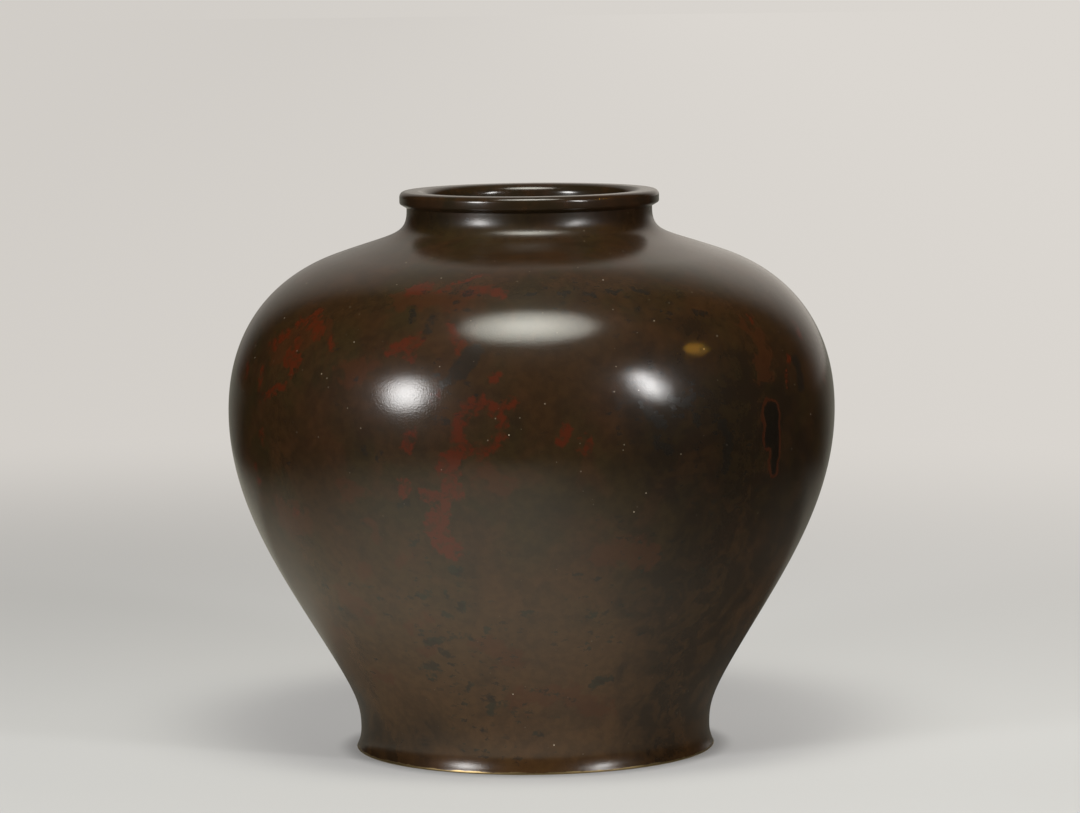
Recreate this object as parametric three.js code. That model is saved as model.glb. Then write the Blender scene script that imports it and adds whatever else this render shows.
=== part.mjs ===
// A cast bronze flower vase of baluster form, with its mouth ring and base plate as separate pieces.
// Millimetres, +Z up. The origin is the centre of the ring that the foot stands on.
import * as THREE from "three";

// Foot, from the surface it stands on up to the waist.
const FOOT_FLARE = 1.8; // how far the foot's edge stands out past the waist
const FOOT_EDGE_ROUND = 0.5; // rounding of the worn bottom edge
const FOOT_LEAN = -28; // lean of the wall at the foot's edge, in degrees from upright
const FOOT_WALL = 5; // thickness of the foot at the waist

// Main radii of the outside, and the heights they are at.
const WAIST_RADIUS = 72.3;
const WAIST_HEIGHT = 8.1;
const BELLY_RADIUS = 125;
const BELLY_HEIGHT = 140;
const NECK_RADIUS = 50.5;
const NECK_HEIGHT = 222.6;

// Two stations between them that shape the long curves. Place is a share of the way from one
// main station to the next, outwards or inwards and upwards, and lean is in degrees from upright.
const FLANK = { across: 0.36, up: 0.328, lean: 31.2 };
const SHOULDER = { across: 0.601, up: 0.783, lean: -70.7 };

// Fullness of the curve below and above each station: how far it holds the station's lean there,
// as a share of the straight distance to the next station.
const FOOT_REACH = { below: 0, above: 0.3 };
const WAIST_REACH = { below: 0.4, above: 0.239 };
const FLANK_REACH = { below: 0.655, above: 0.338 };
const BELLY_REACH = { below: 0.353, above: 0.617 };
const SHOULDER_REACH = { below: 0.12, above: 0.718 };
const NECK_REACH = { below: 0.305, above: 0 };

// Thickness of the cast shell.
const WALL = 2.5;

// Neck end and mouth ring.
const NECK_COLLAR = 1.2; // upright stretch of neck that shows under the ring
const NECK_SPIGOT = 3; // how deep the neck's end goes into the ring
const RING_OVERHANG = 2.9; // how far the ring stands out past the neck
const RING_HEIGHT = 6.6; // from the ring's outer lower edge to its flat top
const RING_BEVEL_HEIGHT = 1.5; // rise of the sloping underside
const RING_SKIRT_WALL = 5.2; // thickness of the skirt that hangs inside the neck
const RING_SKIRT_DEPTH = 8.4; // from the flat top down to the skirt's end
const RING_OUTER_ROUND = 2.3; // rounding of the top outer edge
const RING_LOWER_ROUND = 1.1; // rounding between the outer face and the sloping underside
const RING_LIP_ROUND = 4; // rounding of the lip into the mouth

// Base plate and its seat inside the foot.
const BASE_RECESS = 5; // height of the plate's underside above the surface
const BASE_RIM_THICKNESS = 2.8;
const LEDGE_WIDTH = 3;
const LEDGE_HEIGHT = 2.5;
const LEDGE_FILLET = 2;
const BOSS_PROUD = 0.5; // how far the boss rises above the ledge
const DISH_MARGIN = 8; // from the boss's edge in to the hollow underneath
const DISH_SLOPE = 2; // how far the hollow's side leans in
const FLOOR_THICKNESS = 3.1; // left over the hollow

// Fillets of filler metal, and the gap between pieces that are seated on each other.
const SOLDER_LEG = 2;
const BRAZE_LEG = 1.6;
const SEAT_GAP = 0.3;

// Fineness of the facets: round the axis, along each stretch of the outside, and on each rounding.
const TURN_STEPS = 60;
const FOOT_STEPS = 3;
const LOWER_FLANK_STEPS = 5;
const UPPER_FLANK_STEPS = 6;
const LOWER_SHOULDER_STEPS = 11;
const UPPER_SHOULDER_STEPS = 8;
const ROUND_STEPS = 3;

const point = (radius, height) => new THREE.Vector2(radius, height);
const between = (from, to, share) => from + (to - from) * share;

// One station of the outside: a point, the way the wall leans there, and the curve's reach.
function station(radius, height, lean, reach) {
  const angle = THREE.MathUtils.degToRad(lean);
  const direction = point(Math.sin(angle), Math.cos(angle));
  return { at: point(radius, height), direction, reach };
}

function stationBetween(lower, upper, place, reach) {
  const radius = between(lower.at.x, upper.at.x, place.across);
  const height = between(lower.at.y, upper.at.y, place.up);
  return station(radius, height, place.lean, reach);
}

const foot = station(WAIST_RADIUS + FOOT_FLARE, FOOT_EDGE_ROUND, FOOT_LEAN, FOOT_REACH);
const waist = station(WAIST_RADIUS, WAIST_HEIGHT, 0, WAIST_REACH);
const belly = station(BELLY_RADIUS, BELLY_HEIGHT, 0, BELLY_REACH);
const neck = station(NECK_RADIUS, NECK_HEIGHT, 0, NECK_REACH);
const flank = stationBetween(waist, belly, FLANK, FLANK_REACH);
const shoulder = stationBetween(belly, neck, SHOULDER, SHOULDER_REACH);

// The outside between two stations is one cubic curve that leaves each along its lean.
function stretch(lower, upper, steps) {
  const span = lower.at.distanceTo(upper.at);
  const leave = lower.at.clone().addScaledVector(lower.direction, span * lower.reach.above);
  const arrive = upper.at.clone().addScaledVector(upper.direction, -span * upper.reach.below);
  return { curve: new THREE.CubicBezierCurve(lower.at, leave, arrive, upper.at), steps };
}

const footStretch = stretch(foot, waist, FOOT_STEPS);
const mainStretches = [
  stretch(waist, flank, LOWER_FLANK_STEPS),
  stretch(flank, belly, UPPER_FLANK_STEPS),
  stretch(belly, shoulder, LOWER_SHOULDER_STEPS),
  stretch(shoulder, neck, UPPER_SHOULDER_STEPS),
];

// Points along the stretches, moved inwards from the outside by an even depth.
function skin(stretches, depth) {
  const points = [];
  for (const { curve, steps } of stretches) {
    for (let i = points.length ? 1 : 0; i <= steps; i++) {
      const along = curve.getTangent(i / steps);
      const inward = point(-along.y, along.x);
      points.push(curve.getPoint(i / steps).addScaledVector(inward, depth));
    }
  }
  return points;
}

// Radius of a rising line of points at one height.
function radiusAt(points, height) {
  const above = points.findIndex((p) => p.y > height);
  const lower = points[above - 1];
  const upper = points[above];
  return between(lower.x, upper.x, (height - lower.y) / (upper.y - lower.y));
}

// Points on an arc, from one angle to another in degrees, measured from straight out.
function arc(centreRadius, centreHeight, radius, fromDegrees, toDegrees) {
  const points = [];
  for (let i = 0; i <= ROUND_STEPS; i++) {
    const angle = THREE.MathUtils.degToRad(between(fromDegrees, toDegrees, i / ROUND_STEPS));
    points.push(point(centreRadius + radius * Math.cos(angle), centreHeight + radius * Math.sin(angle)));
  }
  return points;
}

// Levels and radii that the pieces share.
const baseBore = WAIST_RADIUS - FOOT_WALL;
const ledgeBore = baseBore - LEDGE_WIDTH;
const rimTop = BASE_RECESS + BASE_RIM_THICKNESS;
const ledgeUnderside = rimTop + SEAT_GAP;
const ledgeTop = ledgeUnderside + LEDGE_HEIGHT;
const floorHeight = ledgeTop + BOSS_PROUD;
const ringUnderside = NECK_HEIGHT + NECK_COLLAR;
const neckEnd = ringUnderside + NECK_SPIGOT;
const neckBore = NECK_RADIUS - WALL;
const ringTop = ringUnderside + RING_HEIGHT;
const skirtEnd = ringTop - RING_SKIRT_DEPTH;
const skirtRadius = neckBore - SEAT_GAP;
const mouthRadius = skirtRadius - RING_SKIRT_WALL;

function solidOfRevolution(name, profile, material) {
  const geometry = new THREE.LatheGeometry(profile, TURN_STEPS);
  geometry.rotateX(Math.PI / 2);
  const mesh = new THREE.Mesh(geometry, material);
  mesh.name = name;
  return mesh;
}

// A ring-shaped piece: its section closes on itself.
function ring(name, section, material) {
  return solidOfRevolution(name, [...section, section[0]], material);
}

// The casting: an even shell above the ledge, and a stout foot with the seat for the base plate.
function vaseBody() {
  const inside = skin(mainStretches, WALL);
  const filletTop = ledgeTop + LEDGE_FILLET;
  const shell = inside.filter((p) => p.y > filletTop);
  const outside = [...skin([footStretch], 0), ...skin(mainStretches, 0).slice(1)];
  const section = [
    point(baseBore, 0),
    ...arc(foot.at.x - FOOT_EDGE_ROUND, FOOT_EDGE_ROUND, FOOT_EDGE_ROUND, -90, 0).slice(0, -1),
    ...outside,
    point(NECK_RADIUS, neckEnd),
    point(neckBore, neckEnd),
    ...shell.reverse(),
    point(radiusAt(inside, filletTop), filletTop),
    point(radiusAt(inside, ledgeTop) - LEDGE_FILLET, ledgeTop),
    point(ledgeBore, ledgeTop),
    point(ledgeBore, ledgeUnderside),
    point(baseBore, ledgeUnderside),
  ];
  return ring("vase_body", section, patina(0x3a2b1e));
}

// The mouth ring: a cap with a short outer flange and a deeper skirt inside the neck.
function mouthRing() {
  const outerRadius = NECK_RADIUS + RING_OVERHANG;
  const bevelTop = ringUnderside + RING_BEVEL_HEIGHT;
  const grooveOuter = NECK_RADIUS + SEAT_GAP;
  const grooveTop = neckEnd + SEAT_GAP;
  const bevelAngle = THREE.MathUtils.radToDeg(Math.atan2(RING_BEVEL_HEIGHT, outerRadius - grooveOuter));
  const bevelNormal = bevelAngle - 90;
  // The rounding touches the outer face and the slope, so its centre lies where they allow.
  const lowerCentre = bevelTop + RING_LOWER_ROUND * Math.tan(THREE.MathUtils.degToRad(-bevelNormal / 2));
  const section = [
    point(grooveOuter, ringUnderside),
    ...arc(outerRadius - RING_LOWER_ROUND, lowerCentre, RING_LOWER_ROUND, bevelNormal, 0),
    ...arc(outerRadius - RING_OUTER_ROUND, ringTop - RING_OUTER_ROUND, RING_OUTER_ROUND, 0, 90),
    ...arc(mouthRadius + RING_LIP_ROUND, ringTop - RING_LIP_ROUND, RING_LIP_ROUND, 90, 180),
    point(mouthRadius, skirtEnd),
    point(skirtRadius, skirtEnd),
    point(skirtRadius, grooveTop),
    point(grooveOuter, grooveTop),
  ];
  return ring("mouth_ring", section, patina(0x35281c));
}

// The filler metal in the corner between the skirt's end and the neck.
function mouthBraze() {
  const outer = neckBore - SEAT_GAP;
  const top = skirtEnd - SEAT_GAP;
  const section = [point(outer, top - BRAZE_LEG), point(outer, top), point(outer - BRAZE_LEG, top)];
  return ring("mouth_braze", section, bareMetal(0x8a6f3c));
}

// The base plate: a thin rim under the ledge and a thick boss through it, hollowed underneath.
function basePlate() {
  const rimRadius = baseBore - SEAT_GAP;
  const bossRadius = ledgeBore - SEAT_GAP;
  const dishRadius = bossRadius - DISH_MARGIN;
  const dishTop = floorHeight - FLOOR_THICKNESS;
  const profile = [
    point(0, dishTop),
    point(dishRadius - DISH_SLOPE, dishTop),
    point(dishRadius, BASE_RECESS),
    point(rimRadius, BASE_RECESS),
    point(rimRadius, rimTop),
    point(bossRadius, rimTop),
    point(bossRadius, floorHeight),
    point(0, floorHeight),
  ];
  return solidOfRevolution("base_plate", profile, bareMetal(0x57452c));
}

// The fillet of solder in the corner under the base plate.
function baseSolder() {
  const outer = baseBore - SEAT_GAP;
  const top = BASE_RECESS - SEAT_GAP;
  const section = [point(outer, top - SOLDER_LEG), point(outer, top), point(outer - SOLDER_LEG, top)];
  return ring("base_solder", section, bareMetal(0x77787a));
}

function patina(color) {
  return new THREE.MeshStandardMaterial({ color, roughness: 0.3, metalness: 0.6 });
}

function bareMetal(color) {
  return new THREE.MeshStandardMaterial({ color, roughness: 0.55, metalness: 0.9 });
}

const vase = new THREE.Group();
vase.add(vaseBody(), mouthRing(), mouthBraze(), basePlate(), baseSolder());

export default vase;
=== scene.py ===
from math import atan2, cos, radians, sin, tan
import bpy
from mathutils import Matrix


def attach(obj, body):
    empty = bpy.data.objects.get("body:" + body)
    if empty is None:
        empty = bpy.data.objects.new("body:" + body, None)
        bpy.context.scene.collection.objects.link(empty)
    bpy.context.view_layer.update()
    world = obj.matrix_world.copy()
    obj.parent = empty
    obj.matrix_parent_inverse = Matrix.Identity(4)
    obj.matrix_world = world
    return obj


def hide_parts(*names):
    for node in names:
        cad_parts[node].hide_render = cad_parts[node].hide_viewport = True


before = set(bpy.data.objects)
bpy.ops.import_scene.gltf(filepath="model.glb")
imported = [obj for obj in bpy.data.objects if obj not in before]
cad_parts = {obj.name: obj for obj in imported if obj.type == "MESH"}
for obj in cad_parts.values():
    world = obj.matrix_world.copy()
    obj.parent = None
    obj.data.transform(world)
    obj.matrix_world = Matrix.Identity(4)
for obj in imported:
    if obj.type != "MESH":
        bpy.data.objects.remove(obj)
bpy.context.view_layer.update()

# A patinated cast bronze flower vase of baluster form, in metres, dressed over its construction model.
from types import SimpleNamespace

import bpy
import numpy as np
from mathutils import Matrix, Vector, noise

MM = 0.001
PHOTO_WIDTH, PHOTO_HEIGHT = 1080, 813

# Outline of the casting, in millimetres: the same stations as the construction model.
FOOT_FLARE = 1.8
FOOT_EDGE_ROUND = 0.5
FOOT_WALL = 5
WAIST_RADIUS, WAIST_HEIGHT = 72.3, 8.1
BELLY_RADIUS, BELLY_HEIGHT = 125, 140
NECK_RADIUS, NECK_HEIGHT = 50.5, 222.6
NECK_COLLAR = 1.2
NECK_SPIGOT = 3
WALL = 2.5

# Mouth ring.
RING_OVERHANG = 2.9
RING_HEIGHT = 6.6
RING_BEVEL_HEIGHT = 1.5
RING_SKIRT_WALL = 5.2
RING_SKIRT_DEPTH = 8.4
RING_OUTER_ROUND = 2.3
RING_LOWER_ROUND = 1.1
RING_LIP_ROUND = 4

# Base plate, its seat in the foot, and the filler metal.
BASE_RECESS = 5
BASE_RIM_THICKNESS = 2.8
LEDGE_WIDTH = 3
LEDGE_HEIGHT = 2.5
LEDGE_FILLET = 2
BOSS_PROUD = 0.5
DISH_MARGIN = 8
DISH_SLOPE = 2
FLOOR_THICKNESS = 3.1
SOLDER_LEG = 2
BRAZE_LEG = 1.6
SEAT_GAP = 0.3

# Levels and radii that the pieces share.
BASE_BORE = WAIST_RADIUS - FOOT_WALL
LEDGE_BORE = BASE_BORE - LEDGE_WIDTH
RIM_TOP = BASE_RECESS + BASE_RIM_THICKNESS
LEDGE_UNDERSIDE = RIM_TOP + SEAT_GAP
LEDGE_TOP = LEDGE_UNDERSIDE + LEDGE_HEIGHT
FLOOR_HEIGHT = LEDGE_TOP + BOSS_PROUD
RING_UNDERSIDE = NECK_HEIGHT + NECK_COLLAR
NECK_END = RING_UNDERSIDE + NECK_SPIGOT
NECK_BORE = NECK_RADIUS - WALL
RING_TOP = RING_UNDERSIDE + RING_HEIGHT
SKIRT_END = RING_TOP - RING_SKIRT_DEPTH
SKIRT_RADIUS = NECK_BORE - SEAT_GAP
MOUTH_RADIUS = SKIRT_RADIUS - RING_SKIRT_WALL

# Fineness of the meshes.
BODY_TURN_STEPS = 560
RING_TURN_STEPS = 240
BASE_TURN_STEPS = 180
ROUND_STEPS = 10
OUTSIDE_STEP = 1.2  # millimetres between rows on the outside
INSIDE_STEP = 5
CASTING_WAVE_DEPTH = 0.10  # how far the hand-finished outside strays from a true turned form
CASTING_WAVE_LENGTH = 45


# Outline of revolution

def station(radius, height, lean, below, above):
    angle = radians(lean)
    return SimpleNamespace(
        at=np.array([radius, height], float),
        direction=np.array([sin(angle), cos(angle)]),
        below=below,
        above=above,
    )


def station_between(lower, upper, across, up, lean, below, above):
    place = lower.at + (upper.at - lower.at) * np.array([across, up])
    return station(place[0], place[1], lean, below, above)


FOOT = station(WAIST_RADIUS + FOOT_FLARE, FOOT_EDGE_ROUND, -28, 0, 0.3)
WAIST = station(WAIST_RADIUS, WAIST_HEIGHT, 0, 0.4, 0.239)
BELLY = station(BELLY_RADIUS, BELLY_HEIGHT, 0, 0.353, 0.617)
NECK = station(NECK_RADIUS, NECK_HEIGHT, 0, 0.305, 0)
FLANK = station_between(WAIST, BELLY, 0.36, 0.328, 31.2, 0.655, 0.338)
SHOULDER = station_between(BELLY, NECK, 0.601, 0.783, -70.7, 0.12, 0.718)


def stretch(lower, upper, step):
    """Points on the cubic curve between two stations, with the outward normal at each."""
    span = np.linalg.norm(upper.at - lower.at)
    corners = (
        lower.at,
        lower.at + lower.direction * span * lower.above,
        upper.at - upper.direction * span * upper.below,
        upper.at,
    )
    share = np.linspace(0, 1, int(span / step) + 2)[:, None]
    rest = 1 - share
    a, b, c, d = corners
    places = a * rest**3 + 3 * b * rest**2 * share + 3 * c * rest * share**2 + d * share**3
    along = (b - a) * rest**2 + 2 * (c - b) * rest * share + (d - c) * share**2
    along /= np.linalg.norm(along, axis=1)[:, None]
    return places, np.stack([along[:, 1], -along[:, 0]], 1)


def skin(stations, depth, step):
    """The outline through these stations, moved inwards by an even depth."""
    rows = []
    for lower, upper in zip(stations[:-1], stations[1:]):
        places, outward = stretch(lower, upper, step)
        moved = places - outward * depth
        rows.extend(moved[1 if rows else 0:])
    return [tuple(p) for p in rows]


def arc(centre_radius, centre_height, radius, start, end):
    """Points on an arc, from one angle to another in degrees, measured from straight out."""
    angles = np.radians(np.linspace(start, end, ROUND_STEPS + 1))
    return [(centre_radius + radius * cos(a), centre_height + radius * sin(a)) for a in angles]


def radius_at(points, height):
    heights = [p[1] for p in points]
    return float(np.interp(height, heights, [p[0] for p in points]))


# Meshes of revolution

def turned(name, section, steps, closed=True, smooth_angle=35):
    """A mesh of revolution of the section, a list of (radius, height) in millimetres.
    A closed section makes a ring, and an open one starts and ends on the axis."""
    section = np.array(section, float) * MM
    turn = np.linspace(0, 2 * np.pi, steps, endpoint=False)
    on_axis = section[:, 0] < 1e-9
    places, first = [], []
    for (radius, height), pole in zip(section, on_axis):
        first.append(len(places))
        if pole:
            places.append((0.0, 0.0, height))
        else:
            places.extend(zip(radius * np.cos(turn), radius * np.sin(turn), np.full(steps, height)))
    faces = []
    rows = range(len(section) if closed else len(section) - 1)
    for row in rows:
        after = (row + 1) % len(section)
        for k in range(steps):
            k2 = (k + 1) % steps
            low = [first[row]] if on_axis[row] else [first[row] + k, first[row] + k2]
            high = [first[after]] if on_axis[after] else [first[after] + k2, first[after] + k]
            if len(low) + len(high) > 2:
                faces.append(tuple(low + high))
    mesh = bpy.data.meshes.new(name)
    mesh.from_pydata(places, [], faces)
    mesh.polygons.foreach_set("use_smooth", [True] * len(mesh.polygons))
    mesh.set_sharp_from_angle(angle=radians(smooth_angle))
    piece = bpy.data.objects.new(name, mesh)
    bpy.context.scene.collection.objects.link(piece)
    return piece


def coordinates(piece):
    flat = np.empty(len(piece.data.vertices) * 3, np.float32)
    piece.data.vertices.foreach_get("co", flat)
    return flat.reshape(-1, 3).astype(float)


def set_coordinates(piece, places):
    piece.data.vertices.foreach_set("co", places.astype(np.float32).ravel())
    piece.data.update()


def set_field(piece, name, values):
    """Keeps one number for each vertex, which the material reads by its name."""
    field = piece.data.attributes.new(name, "FLOAT", "POINT")
    field.data.foreach_set("value", np.asarray(values, np.float32))


def dress(piece, node, slot, *materials):
    for material in materials:
        piece.data.materials.append(material)
    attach(piece, "root")
    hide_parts(node)


# Camera, fitted to the photograph: focal length and tilt in its 1080 x 813 frame

CAMERA_BACK = 1966.5
CAMERA_HEIGHT = 344.1
FOCAL_PIXELS = 4786.8
CAMERA_YAW = 0.00176
CAMERA_PITCH = 0.10303
CAMERA_ROLL = -0.01157
SENSOR_WIDTH = 36

data = bpy.data.cameras.new("camera")
data.sensor_width = SENSOR_WIDTH
data.lens = FOCAL_PIXELS / PHOTO_WIDTH * SENSOR_WIDTH
data.clip_end = 100
camera = bpy.data.objects.new("camera", data)
camera.matrix_world = (
    Matrix.Translation((0, -CAMERA_BACK * MM, CAMERA_HEIGHT * MM))
    @ Matrix.Rotation(-CAMERA_YAW, 4, "Z")
    @ Matrix.Rotation(radians(90) - CAMERA_PITCH, 4, "X")
    @ Matrix.Rotation(CAMERA_ROLL, 4, "Z")
)
bpy.context.scene.collection.objects.link(camera)
bpy.context.scene.camera = camera

OUTSIDE = skin((FOOT, WAIST, FLANK, BELLY, SHOULDER, NECK), 0, OUTSIDE_STEP)


def on_vase(x, y):
    """The place on the vase's outside, in metres, that shows at a pixel of the photograph."""
    sight = Vector((x - PHOTO_WIDTH / 2, PHOTO_HEIGHT / 2 - y, -FOCAL_PIXELS))
    sight = (camera.matrix_world.to_3x3() @ sight).normalized()
    near = CAMERA_BACK - BELLY_RADIUS
    reach = np.arange(near, near + 2 * BELLY_RADIUS, 0.5)[:, None] * MM
    places = np.array(camera.matrix_world.translation) + reach * np.array(sight)
    heights = np.array([p[1] for p in OUTSIDE]) * MM
    radii = np.array([p[0] for p in OUTSIDE]) * MM
    inside = np.hypot(places[:, 0], places[:, 1]) <= np.interp(places[:, 2], heights, radii)
    return places[int(np.argmax(inside))]


# The casting

def casting():
    main = (WAIST, FLANK, BELLY, SHOULDER, NECK)
    inside = skin(main, WALL, INSIDE_STEP)
    fillet_top = LEDGE_TOP + LEDGE_FILLET
    shell = [p for p in inside if p[1] > fillet_top]
    edge = arc(FOOT.at[0] - FOOT_EDGE_ROUND, FOOT_EDGE_ROUND, FOOT_EDGE_ROUND, -90, 0)[:-1]
    outer = [(BASE_BORE, 0), *edge, *OUTSIDE, (NECK_RADIUS, NECK_END)]
    inner = [
        (NECK_BORE, NECK_END),
        *shell[::-1],
        (radius_at(inside, fillet_top), fillet_top),
        (radius_at(inside, LEDGE_TOP) - LEDGE_FILLET, LEDGE_TOP),
        (LEDGE_BORE, LEDGE_TOP),
        (LEDGE_BORE, LEDGE_UNDERSIDE),
        (BASE_BORE, LEDGE_UNDERSIDE),
    ]
    piece = turned("bronze_casting", [*outer, *inner], BODY_TURN_STEPS)
    # Faces past the outer rows are the inside.
    first_inner_face = (len(outer) - 1) * BODY_TURN_STEPS
    count = len(piece.data.polygons)
    piece.data.polygons.foreach_set("material_index", [int(k >= first_inner_face) for k in range(count)])
    return piece, len(outer) * BODY_TURN_STEPS


def wave(places, length):
    """Slow waves from -1 to 1 over a set of places in metres, the same each run."""
    scale = 1 / (length * MM)
    return np.array([noise.noise(Vector(p) * scale) for p in places])


def hand_finish(piece, outside_count):
    """The filed and rubbed outside strays inwards a little, away from the foot's edge and the ring."""
    places = coordinates(piece)
    outside = places[:outside_count]
    heights = outside[:, 2] / MM
    fade = np.clip((heights - 4) / 20, 0, 1) * np.clip((NECK_HEIGHT - 6 - heights) / 20, 0, 1)
    depth = CASTING_WAVE_DEPTH * MM * (0.5 + 0.5 * wave(outside, CASTING_WAVE_LENGTH)) * fade
    share = 1 - depth / np.hypot(outside[:, 0], outside[:, 1])
    outside[:, :2] *= share[:, None]
    set_coordinates(piece, places)


# Marks of the patina, and painted shade at the foot: each is a stroke with its width in millimetres, drawn through
# pixels of the photograph

RED_STROKES = (
    (4.5, ((298, 323), (310, 318), (318, 313))),
    (6, ((315, 324), (319, 335))),
    (3.2, ((289, 334), (282, 337))),
    (4, ((272, 342), (276, 346))),
    (3, ((298, 340), (296, 351))),
    (6.5, ((288, 357), (296, 362))),
    (3.5, ((291, 368), (292, 373))),
    (2, ((329, 340), (332, 350))),
    (2.2, ((263, 369), (260, 378), (261, 387))),
    (2.4, ((285, 386), (274, 390), (262, 398))),
    (7, ((424, 287), (414, 291))),
    (1.6, ((436, 292), (452, 286), (470, 279), (487, 274))),
    (5, ((470, 293), (485, 288), (501, 294))),
    (2.2, ((447, 314), (449, 330), (457, 342))),
    (3.4, ((461, 344), (458, 348))),
    (5, ((391, 351), (404, 346), (417, 340))),
    (3.5, ((408, 350), (411, 357))),
    (3, ((495, 378), (498, 375))),
    (2.4, ((514, 401), (514, 405))),
    (4.8, ((458, 418), (457, 428), (459, 440))),
    (4.2, ((460, 441), (468, 449), (480, 452), (491, 447))),
    (3.4, ((491, 447), (500, 438), (503, 427), (500, 414))),
    (4.2, ((499, 411), (490, 405), (478, 404), (467, 407))),
    (8.5, ((453, 457), (447, 463))),
    (5.5, ((452, 470), (453, 480))),
    (8.5, ((452, 488), (453, 493))),
    (4.5, ((441, 497), (432, 497), (424, 494))),
    (5, ((445, 500), (443, 514))),
    (9, ((437, 521), (438, 533))),
    (9, ((443, 544), (452, 549))),
    (5.5, ((404, 486), (404, 492))),
    (3.6, ((411, 433), (408, 440), (407, 447))),
    (1.8, ((436, 391), (435, 399))),
    (1.6, ((262, 430), (262, 440))),
    (2.2, ((256, 465), (258, 476), (260, 484))),
    (2.4, ((247, 366), (247, 376))),
    (4.6, ((567, 432), (563, 441))),
    (4, ((587, 443), (586, 450))),
    (1.3, ((788, 357), (786, 372), (787, 386))),
    (3, ((797, 326), (799, 335))),
    (2.4, ((824, 370), (824, 380))),
    (2.2, ((751, 317), (752, 322))),
    (3, ((298, 511), (296, 514))),
)
ROSE_STROKES = (
    (13, ((282, 514), (292, 524), (300, 520))),
    (12, ((280, 348), (300, 336), (318, 330))),
    (6, ((346, 492), (356, 490))),
    (5, ((373, 524), (377, 536))),
    (4.5, ((400, 557), (400, 563))),
    (4.5, ((365, 566), (363, 578))),
    (10, ((346, 598), (362, 612))),
    (4, ((430, 612), (430, 618))),
    (4, ((412, 627), (417, 626))),
    (5, ((340, 630), (336, 642))),
    (4.5, ((428, 652), (433, 646))),
    (5.5, ((376, 674), (386, 677))),
    (8, ((500, 486), (488, 478))),
    (12, ((604, 552), (626, 552), (645, 556))),
    (8, ((748, 330), (762, 345), (764, 375))),
    (10, ((352, 372), (364, 366))),
    (10, ((402, 300), (430, 298), (462, 300))),
    (9, ((480, 640), (510, 660))),
    (10, ((520, 700), (560, 690), (600, 710))),
)
DARK_STROKES = (
    (2, ((415, 312), (412, 320))),
    (2.4, ((433, 317), (427, 331))),
    (3, ((465, 296), (471, 293))),
    (1.2, ((448, 299), (456, 291), (466, 284))),
    (7, ((473, 352), (466, 362), (458, 372))),
    (3, ((452, 379), (444, 385))),
    (3.6, ((437, 421), (446, 421))),
    (1.4, ((364, 446), (367, 453))),
    (1.8, ((376, 461), (382, 453))),
    (1.4, ((354, 380), (358, 379))),
    (6, ((796, 362), (799, 372), (801, 384))),
    (4.5, ((722, 424), (728, 440), (727, 466))),
    (4.5, ((646, 412), (656, 419), (662, 424))),
    (3, ((636, 399), (641, 405))),
    (3.4, ((670, 398), (682, 404), (694, 396))),
    (4, ((654, 441), (670, 450))),
    (3.5, ((692, 412), (700, 424))),
    (2, ((527, 294), (535, 294))),
    (2, ((560, 294), (568, 293))),
    (2.2, ((584, 294), (594, 295))),
    (2.2, ((607, 292), (619, 291))),
    (2.8, ((633, 289), (647, 293))),
    (2.6, ((694, 312), (706, 313))),
    (4, ((452, 569), (459, 573))),
    (2.4, ((417, 594), (424, 595))),
    (3.2, ((461, 604), (461, 611))),
    (1.8, ((446, 591), (449, 598))),
    (2.8, ((445, 614), (450, 617))),
    (3.8, ((427, 642), (441, 640))),
    (1.4, ((441, 641), (454, 636))),
    (1.2, ((460, 634), (470, 636), (478, 643))),
    (2.4, ((486, 632), (489, 627))),
    (2.8, ((441, 650), (449, 653))),
    (4.8, ((427, 666), (434, 667))),
    (1.6, ((428, 677), (435, 677))),
    (2.8, ((468, 689), (472, 683))),
    (3, ((489, 697), (494, 704), (490, 713))),
    (1.6, ((499, 703), (504, 705))),
    (1, ((492, 657), (502, 658))),
    (1.8, ((371, 659), (379, 660))),
    (0.9, ((349, 585), (372, 587))),
    (1.5, ((323, 584), (327, 585))),
    (1.7, ((339, 607), (343, 608))),
    (1.5, ((386, 615), (390, 615))),
    (1.5, ((378, 599), (382, 600))),
    (1.3, ((506, 555), (512, 554))),
    (1.8, ((522, 614), (534, 613))),
    (1.8, ((535, 732), (541, 733))),
    (1, ((474, 729), (487, 732))),
    (3.4, ((592, 686), (601, 681), (611, 678))),
    (1.2, ((540, 692), (556, 693), (574, 700))),
    (1.3, ((582, 619), (598, 613), (615, 611))),
    (2.6, ((398, 505), (408, 503))),
    (1.4, ((412, 545), (417, 537))),
)
OVAL_STROKES = (
    (10, ((771, 412), (772, 436))),
    (6, ((773, 436), (774, 469))),
)
# Where dark flecks lie thickly; where the patina is darker and less waxed on the right of the belly; and painted
# shade, darker and less waxed, at both sides of the foot.
FLECK_STROKES = (
    (46, ((440, 600), (470, 680), (500, 710))),
    (34, ((650, 410), (690, 420), (740, 470))),
    (30, ((560, 292), (650, 300))),
    (26, ((440, 310), (450, 390))),
    (40, ((600, 620), (640, 560))),
)
DULL_PATINA_AND_FOOT_SHADE_STROKES = (
    (70, ((700, 420), (760, 440), (770, 520))),
    (60, ((700, 560), (690, 700))),
    (28, ((368, 740), (392, 745), (418, 752))),
    (24, ((648, 750), (676, 744), (702, 737))),
)

# Pinholes that catch the light, each with its size in millimetres, at pixels of the photograph.
# Their pale colour is a painted glint; the pits themselves are real.
PINHOLES_AND_GLINTS = (
    (0.95, (322, 374)),
    (0.6, (354, 342)),
    (0.6, (603, 280)),
    (0.6, (649, 300)),
    (0.6, (637, 333)),
    (0.6, (654, 321)),
    (0.6, (704, 349)),
    (0.6, (717, 336)),
    (0.7, (623, 450)),
    (0.8, (591, 394)),
    (0.6, (583, 491)),
    (0.6, (646, 493)),
    (0.6, (634, 512)),
    (0.6, (652, 677)),
    (0.7, (554, 745)),
    (0.7, (513, 694)),
    (0.7, (509, 435)),
    (0.7, (497, 415)),
)

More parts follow.
